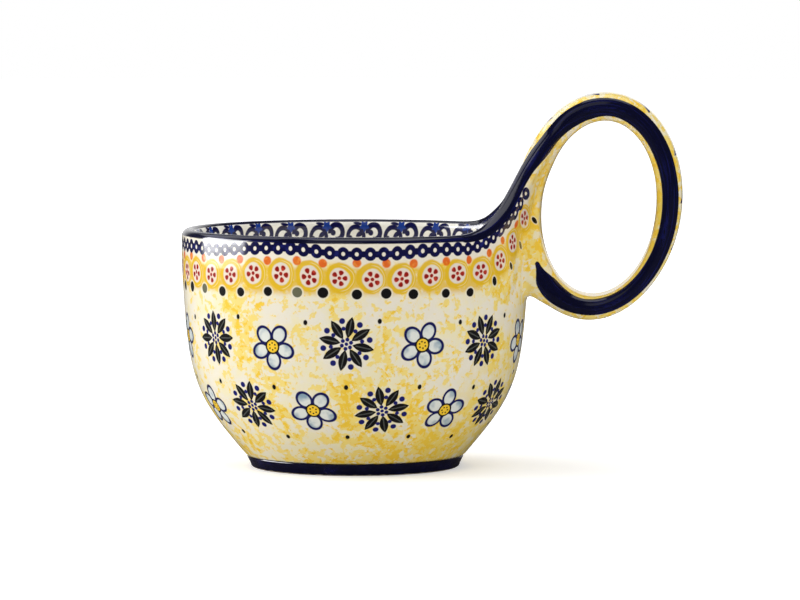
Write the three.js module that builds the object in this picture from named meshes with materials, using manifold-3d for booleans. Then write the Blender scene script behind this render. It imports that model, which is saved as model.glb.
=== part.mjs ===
// A stoneware soup mug with an oval loop handle that grows out of a raised rim.
// Millimetres, +Z up. The origin is on the surface that the mug stands on, under the
// middle of its bounding box. The handle is on the +X side, in the plane Y = 0.
import * as THREE from 'three';
import { mergeVertices } from 'three/addons/utils/BufferGeometryUtils.js';
import Module from 'manifold-3d';

// Bowl
const rimRadius = 59.5;
const rimHeight = 82;
const wallThickness = 4.8;
const floorThickness = 5.6;
const flatFloorRadius = 20;
const bellyTop = 70; // the wall is upright above this height
const bellyPull = [[55.6, 25.4], [57.7, 30.2]]; // radius and height that the outer curve heads for
const hollowPull = [52.2, 31]; // the same, for the upper half of the inner curve
const hollowReach = 46; // the radius that its lower half heads for, at the floor

// Foot
const footRadius = 37.2; // where the foot meets the bowl
const bowlBaseRadius = 38; // the bowl overhangs the foot a little
const standRadius = 36; // at the bottom of the foot
const footHollow = 29.5; // radius of the recess inside the foot
const footHeight = 3.8;
const footRounding = 1.2;

// Luted joints: a layer of slip with a hair of clearance on either side of it
const jointThickness = 1;
const jointClearance = 0.1;
const slipThickness = jointThickness - 2 * jointClearance;

// Handle: an oval ring, measured from the bowl's axis
const ringCentreReach = 83.75;
const ringCentreHeight = 89.6;
const ringHalfWidth = 24; // of the middle line of the strap
const ringHalfHeight = 34.5;
const ringLean = THREE.MathUtils.degToRad(7.6); // the top leans away from the bowl
const strapWidth = 24;
const strapThickness = 8.8;
const crownThickness = 9.5; // at the top of the ring
const strapThinning = 1.7; // on the lower far side, where the strap is drawn out thinner
const thinAngle = THREE.MathUtils.degToRad(315); // of its middle, round the ring
const thinSpread = THREE.MathUtils.degToRad(40);
const heelSwell = 2.8; // extra clay on the underside, where the ring runs into the wall
const heelAngle = THREE.MathUtils.degToRad(229); // of its middle, round the ring
const heelSpread = THREE.MathUtils.degToRad(13);

// Raised rim: a web that narrows upwards into the strap
const seatDepth = 3; // below the rim, where the web is let into the wall
const webAngle = THREE.MathUtils.degToRad(46.5); // each way from the handle's plane
const webHeight = 46; // above the rim, where its curves would reach the strap's edges
const webTop = 41; // above the rim, where the sheet ends inside the strap
const webSpread = 26;
const webTaper = 1.9;
const hornSpread = 5; // the thin tips that run out along the rim
const hornHeight = 1.2;
const webTopThickness = 7;
const webMerge = 9; // above the rim, where the web's line has joined the ring's
const webReach = 0.8 * rimRadius; // the sheet is bent no further round the bowl than this

// Facets
const turnSegments = 64;
const curveSegments = 11;
const lipSegments = 4;
const footEdgeSegments = 2;
const ringSegments = 56;
const strapEndSegments = 7;
const webStations = 22;
const webColumns = 22;
const webCrowding = 1.5; // the stations crowd towards the rim
const mergeTolerance = 1e-4;
const slopeStep = 1e-3; // radians, for the direction of a line

const bowlUnderside = footHeight + jointThickness;
const seatHeight = rimHeight - seatDepth;
const lipRadius = wallThickness / 2;
const ringAngles = Array.from({ length: ringSegments }, (_, i) => (2 * Math.PI * i) / ringSegments);
const farReach = Math.max(...ringAngles.map((angle) => (
  ringMiddle(angle).x + normalAt(ringMiddle, angle).x * ringHalfThickness(angle)
)));
const bowlAxisX = (rimRadius - farReach) / 2;

const wasm = await Module();
wasm.setup();

function solidFrom(geometry) {
  const bare = geometry.clone();
  bare.deleteAttribute('normal');
  bare.deleteAttribute('uv');
  const merged = mergeVertices(bare, mergeTolerance);
  return new wasm.Manifold(new wasm.Mesh({
    numProp: 3,
    vertProperties: new Float32Array(merged.attributes.position.array),
    triVerts: new Uint32Array(merged.index.array),
  }));
}

function geometryFrom(solid) {
  const { vertProperties, triVerts } = solid.getMesh();
  const geometry = new THREE.BufferGeometry();
  geometry.setAttribute('position', new THREE.BufferAttribute(vertProperties, 3));
  geometry.setIndex(new THREE.BufferAttribute(triVerts, 1));
  return geometry;
}

// A profile of (radius, height) points turned about the bowl's axis.
function turned(points) {
  const geometry = new THREE.LatheGeometry(points, turnSegments);
  return geometry.rotateX(Math.PI / 2).translate(bowlAxisX, 0, 0);
}

// A sector of a disc on the handle's side of the bowl, from one height to another.
function sector(innerRadius, outerRadius, halfAngle, bottom, top) {
  const shape = new THREE.Shape();
  shape.absarc(0, 0, outerRadius, -halfAngle, halfAngle, false);
  shape.absarc(0, 0, innerRadius, halfAngle, -halfAngle, true);
  const options = { depth: top - bottom, bevelEnabled: false, curveSegments: turnSegments / 4 };
  return new THREE.ExtrudeGeometry(shape, options).translate(bowlAxisX, 0, bottom);
}

// The outside of the wall, from the foot's edge to where it is upright, grown by some millimetres.
function outerWall(growth = 0) {
  const curve = new THREE.CubicBezierCurve(
    new THREE.Vector2(bowlBaseRadius, bowlUnderside),
    new THREE.Vector2(...bellyPull[0]),
    new THREE.Vector2(...bellyPull[1]),
    new THREE.Vector2(rimRadius, bellyTop),
  );
  return curve.getPoints(curveSegments).map((p) => new THREE.Vector2(p.x + growth, p.y));
}

// The jiggered bowl: floor, belly, upright wall and a full round lip, notched for the handle.
function bowl() {
  const innerFloor = bowlUnderside + floorThickness;
  const inside = new THREE.CubicBezierCurve(
    new THREE.Vector2(rimRadius - wallThickness, bellyTop),
    new THREE.Vector2(...hollowPull),
    new THREE.Vector2(hollowReach, innerFloor),
    new THREE.Vector2(flatFloorRadius, innerFloor),
  );
  const lip = new THREE.Path().absarc(
    rimRadius - lipRadius, rimHeight - lipRadius, lipRadius, 0, Math.PI, false,
  );
  const profile = [
    new THREE.Vector2(0, bowlUnderside),
    ...outerWall(),
    ...lip.getPoints(lipSegments),
    ...inside.getPoints(curveSegments),
    new THREE.Vector2(0, innerFloor),
  ];
  const notch = sector(rimRadius - 2 * wallThickness, rimRadius + wallThickness,
    webAngle, seatHeight, rimHeight + wallThickness);
  return geometryFrom(solidFrom(turned(profile)).subtract(solidFrom(notch)));
}

// The foot: a ring with a flat standing face and rounded edges.
function footRing() {
  const outer = standRadius - footRounding;
  const inner = footHollow + 2 * footRounding;
  const profile = [new THREE.Vector2(footHollow, footHeight)];
  for (const [centre, from, to] of [[inner, Math.PI, 1.5 * Math.PI], [outer, 1.5 * Math.PI, 2 * Math.PI]]) {
    const edge = new THREE.Path().absarc(centre, footRounding, footRounding, from, to, false);
    profile.push(...edge.getPoints(footEdgeSegments));
  }
  profile.push(new THREE.Vector2(footRadius, footHeight), profile[0].clone());
  return turned(profile);
}

// The layer of slip between the foot and the bowl.
function footSlip() {
  const bottom = footHeight + jointClearance;
  const top = bottom + slipThickness;
  const corners = [[footHollow, top], [footHollow, bottom], [footRadius, bottom], [footRadius, top]];
  const profile = [...corners, corners[0]].map(([radius, height]) => new THREE.Vector2(radius, height));
  return turned(profile);
}

// A point of the ring's middle line: reach from the bowl's axis and height. The angle is 0 on
// the side away from the bowl, and a quarter turn at the top.
function ringMiddle(angle) {
  const across = ringHalfWidth * Math.cos(angle);
  const up = ringHalfHeight * Math.sin(angle);
  return new THREE.Vector2(
    ringCentreReach + across * Math.cos(ringLean) + up * Math.sin(ringLean),
    ringCentreHeight - across * Math.sin(ringLean) + up * Math.cos(ringLean),
  );
}

// Half of the strap's thickness: full at the crown, and drawn out on the lower far side.
function ringHalfThickness(angle) {
  const crown = Math.max(0, Math.sin(angle)) ** 2;
  const swing = Math.atan2(Math.sin(angle - thinAngle), Math.cos(angle - thinAngle));
  const thinning = strapThinning * Math.exp(-((swing / thinSpread) ** 2));
  return (THREE.MathUtils.lerp(strapThickness, crownThickness, crown) - thinning) / 2;
}

// The angle at which the ring's side next to the bowl passes a height.
function ringAngleAt(height) {
  const across = ringHalfWidth * Math.sin(ringLean);
  const up = ringHalfHeight * Math.cos(ringLean);
  const turn = Math.asin((height - ringCentreHeight) / Math.hypot(across, up));
  return Math.PI + Math.atan2(across, up) - turn;
}

// The unit normal of a line of (reach, height) points, to the right of its direction.
function normalAt(line, parameter) {
  const along = line(parameter + slopeStep).sub(line(parameter - slopeStep)).normalize();
  return new THREE.Vector2(along.y, -along.x);
}

// A point of the handle: it follows the bowl's curve, so it is turned about the bowl's axis.
function wrapped(reach, side, height) {
  return [bowlAxisX + Math.sqrt(reach * reach - side * side), side, height];
}

// The ring of the handle: a strap with full round edges, swept round the oval.
function handleRing() {
  const section = strapSection();
  const positions = [];
  const index = [];
  for (const angle of ringAngles) {
    const middle = ringMiddle(angle);
    const normal = normalAt(ringMiddle, angle);
    const half = ringHalfThickness(angle);
    const heel = heelSwell * Math.exp(-(((angle - heelAngle) / heelSpread) ** 2));
    for (const [side, out] of section) {
      const place = normal.clone().multiplyScalar(out * half + heel * (1 + out) / 2).add(middle);
      positions.push(...wrapped(place.x, side, place.y));
    }
  }
  const around = section.length;
  for (let i = 0; i < ringSegments; i += 1) {
    const next = (i + 1) % ringSegments;
    for (let j = 0; j < around; j += 1) {
      const a = i * around + j;
      const b = i * around + ((j + 1) % around);
      const c = next * around + ((j + 1) % around);
      const d = next * around + j;
      index.push(a, b, c, a, c, d);
    }
  }
  return geometryOf(positions, index);
}

// The strap's section: sideways place, and share of half the thickness, in order round it.
function strapSection() {
  const radius = strapThickness / 2;
  const straight = strapWidth / 2 - radius;
  const points = [];
  for (const end of [1, -1]) {
    for (let k = 0; k <= strapEndSegments; k += 1) {
      const turn = Math.PI * (0.5 - k / strapEndSegments);
      points.push([end * (straight + radius * Math.cos(turn)), end * Math.sin(turn)]);
    }
    points.push([0, -end]);
  }
  return points;
}

function geometryOf(positions, index) {
  const geometry = new THREE.BufferGeometry();
  geometry.setAttribute('position', new THREE.Float32BufferAttribute(positions, 3));
  geometry.setIndex(index);
  return geometry;
}

// Half of the web's width at a height above the rim.
function webHalfWidth(height) {
  const up = THREE.MathUtils.clamp(height, 0, webHeight);
  const width = strapWidth / 2 + webSpread * (1 - up / webHeight) ** webTaper
    + hornSpread * Math.exp(-up / hornHeight);
  return width - Math.min(height, 0) * webFlare(0);
}

// How fast the web narrows with height.
function webFlare(height) {
  const up = THREE.MathUtils.clamp(height, 0, webHeight);
  return (webSpread * webTaper / webHeight) * (1 - up / webHeight) ** (webTaper - 1)
    + (hornSpread / hornHeight) * Math.exp(-up / hornHeight);
}

// The web's middle line: the wall's own line at the rim, and the ring's above it.
function webMiddle(angle) {
  const middle = ringMiddle(angle);
  const share = THREE.MathUtils.smoothstep(middle.y, seatHeight, rimHeight + webMerge);
  middle.x = THREE.MathUtils.lerp(rimRadius - lipRadius, middle.x, share);
  return middle;
}

// The web: a sheet as thick as the wall, with full round edges that sweep up into the strap.
function handleWeb() {
  const bottomAngle = ringAngleAt(seatHeight);
  const topAngle = ringAngleAt(rimHeight + webTop);
  const faces = { out: [], back: [] };
  for (let i = 0; i <= webStations; i += 1) {
    const share = (i / webStations) ** webCrowding;
    const angle = THREE.MathUtils.lerp(bottomAngle, topAngle, share);
    const middle = webMiddle(angle);
    const normal = normalAt(webMiddle, angle);
    const height = middle.y - rimHeight;
    const width = webHalfWidth(height);
    const reachable = Math.min(width, webReach);
    const lean = 1 / Math.hypot(1, webFlare(height));
    const rising = THREE.MathUtils.clamp(height / webHeight, 0, 1);
    const radius = THREE.MathUtils.lerp(wallThickness, webTopThickness, rising) / 2;
    for (let j = 0; j <= webColumns; j += 1) {
      const side = reachable * Math.sin(Math.PI * (j / webColumns - 0.5));
      const inset = Math.min((width - Math.abs(side)) * lean, radius);
      const half = Math.max(Math.sqrt(radius ** 2 - (radius - inset) ** 2), jointClearance / 2);
      for (const [face, way] of [[faces.out, 1], [faces.back, -1]]) {
        face.push(...wrapped(middle.x - way * half * normal.x, side, middle.y - way * half * normal.y));
      }
    }
  }
  return sheetGeometry(faces.out, faces.back, webStations, webColumns);
}

// A closed sheet from two grids of points, with its four sides walled up.
function sheetGeometry(front, back, rows, columns) {
  const offset = (rows + 1) * (columns + 1);
  const at = (i, j) => i * (columns + 1) + j;
  const index = [];
  const quad = (a, b, c, d) => index.push(a, b, c, a, c, d);
  for (let i = 0; i < rows; i += 1) {
    for (let j = 0; j < columns; j += 1) {
      const corners = [at(i, j), at(i, j + 1), at(i + 1, j + 1), at(i + 1, j)];
      quad(...corners);
      quad(...corners.reverse().map((k) => k + offset));
    }
    quad(at(i, 0), at(i + 1, 0), at(i + 1, 0) + offset, at(i, 0) + offset);
    quad(at(i + 1, columns), at(i, columns), at(i, columns) + offset, at(i + 1, columns) + offset);
  }
  for (let j = 0; j < columns; j += 1) {
    quad(at(0, j + 1), at(0, j), at(0, j) + offset, at(0, j + 1) + offset);
    quad(at(rows, j), at(rows, j + 1), at(rows, j + 1) + offset, at(rows, j) + offset);
  }
  return geometryOf([...front, ...back], index);
}

// The body of the bowl grown by some millimetres, up to a height: what the handle is fitted round.
function wallForm(growth, top) {
  const outside = outerWall(growth);
  const profile = [
    new THREE.Vector2(0, outside[0].y),
    ...outside,
    new THREE.Vector2(rimRadius + growth, top),
    new THREE.Vector2(0, top),
  ];
  return solidFrom(turned(profile));
}

// The handle: ring and web in one piece, fitted to the wall and to the notch in the rim.
function handle(ring) {
  const hair = jointClearance / rimRadius;
  const reach = ringCentreReach + 2 * ringHalfWidth;
  const opening = sector(lipRadius, reach, webAngle - hair, 0, 2 * rimHeight);
  const web = solidFrom(handleWeb()).intersect(solidFrom(opening));
  return geometryFrom(ring.add(web).subtract(wallForm(jointThickness, seatHeight + jointThickness)));
}

// The slip under the web, on the seat of the notch.
function rootSlip() {
  const hair = jointClearance / rimRadius;
  const bottom = seatHeight + jointClearance;
  return sector(rimRadius - wallThickness, rimRadius, webAngle - hair, bottom, bottom + slipThickness);
}

// The slip between the ring and the outside of the wall.
function wallSlip(ring) {
  const outside = wallForm(jointClearance + slipThickness, seatHeight);
  return geometryFrom(ring.intersect(outside).subtract(wallForm(jointClearance, rimHeight)));
}

function piece(name, geometry, colour, roughness) {
  const material = new THREE.MeshStandardMaterial({ color: colour, roughness, metalness: 0 });
  const mesh = new THREE.Mesh(geometry, material);
  mesh.name = name;
  return mesh;
}

const creamGlaze = 0xf0e3c0;
const cobaltGlaze = 0x15153c;
const firedSlip = 0xd9cfbb;
const glossy = 0.15;
const matt = 0.7;

const ring = solidFrom(handleRing());
const mug = new THREE.Group();
mug.add(
  piece('bowl', bowl(), creamGlaze, glossy),
  piece('foot_ring', footRing(), cobaltGlaze, glossy),
  piece('handle', handle(ring), creamGlaze, glossy),
  piece('foot_slip', footSlip(), firedSlip, matt),
  piece('root_slip', rootSlip(), firedSlip, matt),
  piece('wall_slip', wallSlip(ring), firedSlip, matt),
);

export default mug;
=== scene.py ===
# A stoneware soup mug with an oval loop handle, stamped and sponged by hand under a clear glaze,
# with dark cobalt on its rim, its foot and both edges of its handle.
import math

import bpy
import numpy as np
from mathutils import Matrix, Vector
from mathutils.geometry import tessellate_polygon


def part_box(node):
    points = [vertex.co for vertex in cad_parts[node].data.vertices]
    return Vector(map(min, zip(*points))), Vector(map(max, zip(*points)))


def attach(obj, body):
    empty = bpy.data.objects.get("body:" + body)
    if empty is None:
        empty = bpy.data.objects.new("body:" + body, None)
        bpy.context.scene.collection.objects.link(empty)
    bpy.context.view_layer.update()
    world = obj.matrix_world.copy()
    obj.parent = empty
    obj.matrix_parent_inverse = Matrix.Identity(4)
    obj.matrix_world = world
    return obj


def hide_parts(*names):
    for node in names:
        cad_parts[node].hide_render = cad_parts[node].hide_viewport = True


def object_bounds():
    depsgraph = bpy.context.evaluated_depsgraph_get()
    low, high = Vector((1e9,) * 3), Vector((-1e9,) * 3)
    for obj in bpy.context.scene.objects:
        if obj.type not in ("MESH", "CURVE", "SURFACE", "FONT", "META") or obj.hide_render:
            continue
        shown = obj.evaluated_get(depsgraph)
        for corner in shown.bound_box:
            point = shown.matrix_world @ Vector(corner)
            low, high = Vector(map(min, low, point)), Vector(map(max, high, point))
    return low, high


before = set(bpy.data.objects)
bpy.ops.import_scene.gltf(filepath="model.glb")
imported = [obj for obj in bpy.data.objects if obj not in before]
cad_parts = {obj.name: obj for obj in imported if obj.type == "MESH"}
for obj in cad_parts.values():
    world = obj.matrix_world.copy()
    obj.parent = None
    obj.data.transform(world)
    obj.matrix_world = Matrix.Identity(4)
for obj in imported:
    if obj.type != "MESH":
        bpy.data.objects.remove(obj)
cad_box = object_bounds()


# Foot ring: a low ring of the same clay, luted under the bowl. Its side is brushed with dark cobalt
# and glazed with the rest. The face that it stands on is wiped bare, so the fired clay shows there.
mm = 0.001
foot_low, foot_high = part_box("foot_ring")
axis_x = (foot_low.x + foot_high.x) / 2 / mm
foot_radius = (foot_high.x - foot_low.x) / 2 / mm
foot_height = 4.2
foot_batter = 1.2
foot_width = 7.7
foot_rounding = 1.2
foot_bevel = (0.1, 0.6)
foot_sides = 160
stand_radius = foot_radius - foot_batter
foot_hollow = foot_radius - foot_width
cobalt = (10, 10, 36)
thin_cobalt = (22, 23, 68)
bare_clay = (205, 190, 165)
wiped_heights = (0.45, 0.2)
glaze_bending = 1.52
glaze_roughness = 0.12
ripple_size = 7.0
ripple_depth = 0.4


def arc(centre, radius, start, end, steps):
    """Points of a circle's arc, with the angles in degrees."""
    angles = np.radians(np.linspace(start, end, steps + 1))
    return [(centre[0] + radius * math.cos(a), centre[1] + radius * math.sin(a)) for a in angles]


def new_piece(name, vertices, faces):
    """A smooth mesh object from points in millimetres about the bowl's axis."""
    mesh = bpy.data.meshes.new(name)
    places = (np.asarray(vertices, float) + (axis_x, 0, 0)) * mm
    mesh.from_pydata(places.tolist(), [], [list(map(int, face)) for face in faces])
    mesh.polygons.foreach_set("use_smooth", [True] * len(mesh.polygons))
    mesh.update()
    piece = bpy.data.objects.new(name, mesh)
    bpy.context.scene.collection.objects.link(piece)
    return piece


def turned(name, outline, steps):
    """A closed outline of (radius, height) points, turned about the bowl's axis."""
    radius, height = np.array(outline).T
    angle = np.linspace(0, 2 * math.pi, steps, endpoint=False)
    across, along = np.outer(np.cos(angle), radius), np.outer(np.sin(angle), radius)
    ring = [across, along, np.tile(height, (steps, 1))]
    count = len(radius)
    faces = []
    for i in range(steps):
        for j in range(count):
            here, there = i * count, (i + 1) % steps * count
            after = (j + 1) % count
            faces.append((here + j, there + j, there + after, here + after))
    return new_piece(name, np.stack(ring, -1).reshape(-1, 3), faces)


class Paint:
    """A value that varies over a surface. Arithmetic on it adds nodes to the material in hand."""

    tree = None

    def __init__(self, socket):
        self.socket = socket

    def __add__(self, other):
        return calc("ADD", self, other)

    __radd__ = __add__

    def __sub__(self, other):
        return calc("SUBTRACT", self, other)

    def __rsub__(self, other):
        return calc("SUBTRACT", other, self)

    def __mul__(self, other):
        return calc("MULTIPLY", self, other)

    __rmul__ = __mul__

    def __truediv__(self, other):
        return calc("DIVIDE", self, other)


def put(socket, value):
    """Links a painted value to a node's socket, or sets the socket to a plain one."""
    if isinstance(value, Paint):
        Paint.tree.links.new(value.socket, socket)
    else:
        socket.default_value = value


def node(kind, **settings):
    made = Paint.tree.nodes.new(kind)
    for name, value in settings.items():
        setattr(made, name, value)
    return made


def calc(operation, *values):
    made = node("ShaderNodeMath", operation=operation)
    for socket, value in zip(made.inputs, values):
        put(socket, value)
    return Paint(made.outputs[0])


def ease(value, low, high):
    """0 at low and 1 at high, with a soft step between them."""
    made = node("ShaderNodeMapRange", interpolation_type="SMOOTHSTEP")
    for socket, number in zip(made.inputs, (value, low, high)):
        put(socket, number)
    return Paint(made.outputs[0])


def tint(red, green, blue):
    """A colour as it is seen on a screen, from 0 to 255, as the linear colour that a shader takes."""
    seen = np.array([red, green, blue]) / 255
    linear = np.where(seen <= 0.04045, seen / 12.92, ((seen + 0.055) / 1.055) ** 2.4)
    return (*linear.tolist(), 1.0)


def layer(under, over, share):
    """One colour laid over another, by a share from 0 to 1."""
    made = node("ShaderNodeMix", data_type="RGBA")
    put(made.inputs[0], share)
    for socket, colour in zip((made.inputs[6], made.inputs[7]), (under, over)):
        put(socket, colour if isinstance(colour, Paint) else tint(*colour))
    return Paint(made.outputs[2])


def speckle(size, detail=2.0, roughness=0.5, seed=0.0, torn=0.0):
    """Cloudy variation from 0 to 1, with clouds of a size in millimetres that may have torn edges."""
    made = node("ShaderNodeTexNoise", noise_dimensions="4D")
    place = node("ShaderNodeTexCoord")
    Paint.tree.links.new(place.outputs["Object"], made.inputs["Vector"])
    put(made.inputs["W"], seed)
    put(made.inputs["Scale"], 1 / (size * mm))
    put(made.inputs["Detail"], detail)
    put(made.inputs["Roughness"], roughness)
    put(made.inputs["Distortion"], torn)
    return Paint(made.outputs["Fac"])


def position():
    """The place on the mug in millimetres: across and along from the bowl's axis, and height."""
    place = node("ShaderNodeTexCoord")
    parts = node("ShaderNodeSeparateXYZ")
    Paint.tree.links.new(place.outputs["Object"], parts.inputs[0])
    across, along, height = (Paint(socket) / mm for socket in parts.outputs)
    return across - axis_x, along, height


def start_glaze(name):
    """An empty material with a clear gloss glaze over the colour that is painted next."""
    material = bpy.data.materials.new(name)
    material.use_nodes = True
    Paint.tree = material.node_tree
    glaze = Paint.tree.nodes["Principled BSDF"]
    glaze.inputs["IOR"].default_value = glaze_bending
    glaze.inputs["Roughness"].default_value = glaze_roughness
    return material, glaze


def ripple(glaze, strength):
    """The slight unevenness of a hand-dipped glaze."""
    bump = node("ShaderNodeBump")
    put(bump.inputs["Strength"], strength)
    put(bump.inputs["Distance"], ripple_depth * mm)
    put(bump.inputs["Height"], speckle(ripple_size, 3.0, 0.45, 31.0))
    Paint.tree.links.new(bump.outputs[0], glaze.inputs["Normal"])


foot_outline = [
    (foot_hollow, foot_height),
    *arc((foot_hollow + 2 * foot_rounding, foot_rounding), foot_rounding, 180, 270, 6),
    *arc((stand_radius - foot_rounding, foot_rounding), foot_rounding, 270, 360, 6),
    (foot_radius, foot_height - foot_bevel[1]),
    (foot_radius - foot_bevel[0], foot_height),
]
foot = turned("foot_ring_glazed", foot_outline, foot_sides)
foot_glaze, glaze = start_glaze("cobalt_foot")
brushed = layer(cobalt, thin_cobalt, ease(speckle(6.0, 4.0, 0.6, 3.0), 0.5, 0.75))
wiped = ease(position()[2] + (speckle(2.0, 2.0, 0.5, 5.0) - 0.5) * 0.5, *wiped_heights)
put(glaze.inputs["Base Color"], layer(brushed, bare_clay, wiped))
put(glaze.inputs["Roughness"], wiped * 0.6 + 0.09)
ripple(glaze, 0.25)
foot.data.materials.append(foot_glaze)
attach(foot, "root")
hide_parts("foot_ring", "foot_slip")


# Bowl: jiggered stoneware with a flat floor, a round belly, an almost upright wall and a full round
# lip. What follows is its clay, as the distance from its skin: negative inside the clay.
bowl_low, bowl_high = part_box("bowl")
rim_radius = (bowl_high.x - bowl_low.x) / 2 / mm
rim_height = bowl_high.z / mm
wall_thickness = 4.8
floor_height = 10.4
flat_floor_radius = 20.0
belly_top = 70.0
belly_start = (38.0, 4.8)
belly_pull = ((55.6, 25.4), (57.7, 30.2))
hollow_pull = ((52.2, 31.0), (46.0, floor_height))
lip_radius = wall_thickness / 2
wall_middle = rim_radius - lip_radius
past_axis = -6.0
table_step = 0.25
table_margin = 8.0


def bend(start, pulls, end, steps):
    """Points of a cubic curve from start to end that heads for two pulls."""
    share = np.linspace(0, 1, steps + 1)[:, None]
    corners = [np.array(corner) for corner in (start, *pulls, end)]
    weights = ((1 - share) ** 3, 3 * share * (1 - share) ** 2, 3 * share ** 2 * (1 - share), share ** 3)
    return sum(weight * corner for weight, corner in zip(weights, corners))


def outline_distance(radius, height, outline):
    """Distance of points from a closed outline, negative inside it."""
    nearest = np.full(radius.shape, np.inf)
    inside = np.zeros(radius.shape, bool)
    for (r0, h0), (r1, h1) in zip(outline, np.roll(outline, -1, 0)):
        dr, dh = r1 - r0, h1 - h0
        share = np.clip(((radius - r0) * dr + (height - h0) * dh) / (dr * dr + dh * dh), 0, 1)
        nearest = np.minimum(nearest, (radius - r0 - share * dr) ** 2 + (height - h0 - share * dh) ** 2)
        if h0 != h1:
            inside ^= ((h0 > height) != (h1 > height)) & (radius < dr * (height - h0) / dh + r0)
    return np.where(inside, -1, 1) * np.sqrt(nearest)


outer_curve = bend(belly_start, belly_pull, (rim_radius, belly_top), 120)
hollow_top = (rim_radius - wall_thickness, belly_top)
inner_curve = bend(hollow_top, hollow_pull, (flat_floor_radius, floor_height), 90)
bowl_outline = np.array([
    (past_axis, foot_height),
    (foot_radius + 0.2, foot_height),
    *outer_curve,
    *arc((wall_middle, rim_height - lip_radius), lip_radius, 0, 180, 40),
    *inner_curve,
    (past_axis, floor_height),
])
table_radius = np.arange(0, rim_radius + table_margin, table_step)
table_height = np.arange(0, rim_height + table_margin, table_step)
bowl_table = outline_distance(*np.meshgrid(table_radius, table_height, indexing="ij"), bowl_outline)


def bowl_distance(reach, height):
    """Distance from the bowl's skin, read from the table between its points."""
    r = np.clip(reach, 0, table_radius[-2])
    h = np.clip(height, 0, table_height[-2])
    i = (r / table_step).astype(int)
    j = (h / table_step).astype(int)
    s = r / table_step - i
    t = h / table_step - j
    low = bowl_table[i, j] * (1 - s) + bowl_table[i + 1, j] * s
    high = bowl_table[i, j + 1] * (1 - s) + bowl_table[i + 1, j + 1] * s
    return low * (1 - t) + high * t + np.hypot(reach - r, height - h)


# Handle: a strap of the same clay, bent to an oval ring that leans away from the bowl, with a web
# that spreads from it and runs out along the rim. Both are bent round the bowl's own curve.
ring_reach = 83.75
ring_height = 89.6
ring_half_width = 24.0
ring_half_height = 34.5
ring_lean = math.radians(7.6)
strap_half_width = 12.0
strap_half_thickness = 4.4
crown_half_thickness = 4.75
strap_thinning = 0.85
thin_angle = math.radians(315)
thin_spread = math.radians(40)
heel_swell = 2.8
heel_angle = math.radians(229)
heel_spread = math.radians(13)
seat_height = rim_height - 3.0
web_angle = math.radians(46.5)
web_height = 46.0
web_top = rim_height + 41.0
web_spread = 26.0
web_taper = 1.9
horn_spread = 5.0
horn_height = 1.2
web_half_thickness = (2.4, 3.5)
web_merge = rim_height + 9.0
web_sink = 1.4
root_sink = 0.9
root_range = (-1.0, 4.0)
web_depth = 4.5
web_softening = 0.8
heel_softening = 4.0
softening_lost = 2.8
ring_past_wall = 7.0
handle_from = (20, 40)


def smooth_share(value, low, high):
    share = np.clip((value - low) / (high - low), 0, 1)
    return share * share * (3 - 2 * share)


def ring_middle(angle):
    """Reach and height of the ring's middle line. The angle is 0 on the side away from the bowl."""
    across = ring_half_width * np.cos(angle)
    up = ring_half_height * np.sin(angle)
    reach = ring_reach + across * math.cos(ring_lean) + up * math.sin(ring_lean)
    return reach, ring_height - across * math.sin(ring_lean) + up * math.cos(ring_lean)


def ring_angle_at(height):
    """The angle at which the ring's side next to the bowl passes a height."""
    across = ring_half_width * math.sin(ring_lean)
    up = ring_half_height * math.cos(ring_lean)
    turn = np.arcsin(np.clip((height - ring_height) / math.hypot(across, up), -1, 1))
    return math.pi + math.atan2(across, up) - turn


def ring_nearest(reach, height):
    """Distance from the ring's middle line, negative inside the finger hole, and the angle there."""
    dx, dz = reach - ring_reach, height - ring_height
    across = dx * math.cos(ring_lean) - dz * math.sin(ring_lean)
    up = dx * math.sin(ring_lean) + dz * math.cos(ring_lean)
    a, b = ring_half_width, ring_half_height
    angle = np.arctan2(up / b, across / a)
    for _ in range(5):
        cosine, sine = np.cos(angle), np.sin(angle)
        slope = (b * b - a * a) * sine * cosine + a * across * sine - b * up * cosine
        bending = (b * b - a * a) * (cosine ** 2 - sine ** 2) + a * across * cosine + b * up * sine
        angle = angle - np.clip(slope / np.maximum(bending, 100.0), -0.3, 0.3)
    distance = np.hypot(across - a * np.cos(angle), up - b * np.sin(angle))
    outside = (across / a) ** 2 + (up / b) ** 2 > 1
    return np.where(outside, distance, -distance), angle


def web_middle(height):
    """Reach of the web's middle line: the wall's own at the rim, and the ring's above it."""
    reach = ring_middle(ring_angle_at(np.minimum(height, web_top)))[0]
    share = smooth_share(height, seat_height, web_merge)
    return wall_middle + (reach - wall_middle) * share


def web_half_width(height):
    """Half of the web's width at a height, and how fast it narrows there."""
    above = height - rim_height
    up = np.clip(above, 0, web_height)
    left = 1 - up / web_height
    horn = np.exp(-up / horn_height)
    width = strap_half_width + web_spread * left ** web_taper + horn_spread * horn
    flare = web_spread * web_taper / web_height * left ** (web_taper - 1)
    flare = flare + horn_spread / horn_height * horn
    return width - np.minimum(above, 0) * flare, flare


def joined(first, second, soften):
    """Two clays pressed together, with the corner between them smoothed over."""
    overlap = np.maximum(soften - np.abs(first - second), 0) / soften
    return np.minimum(first, second) - overlap ** 2 * soften / 4


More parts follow.
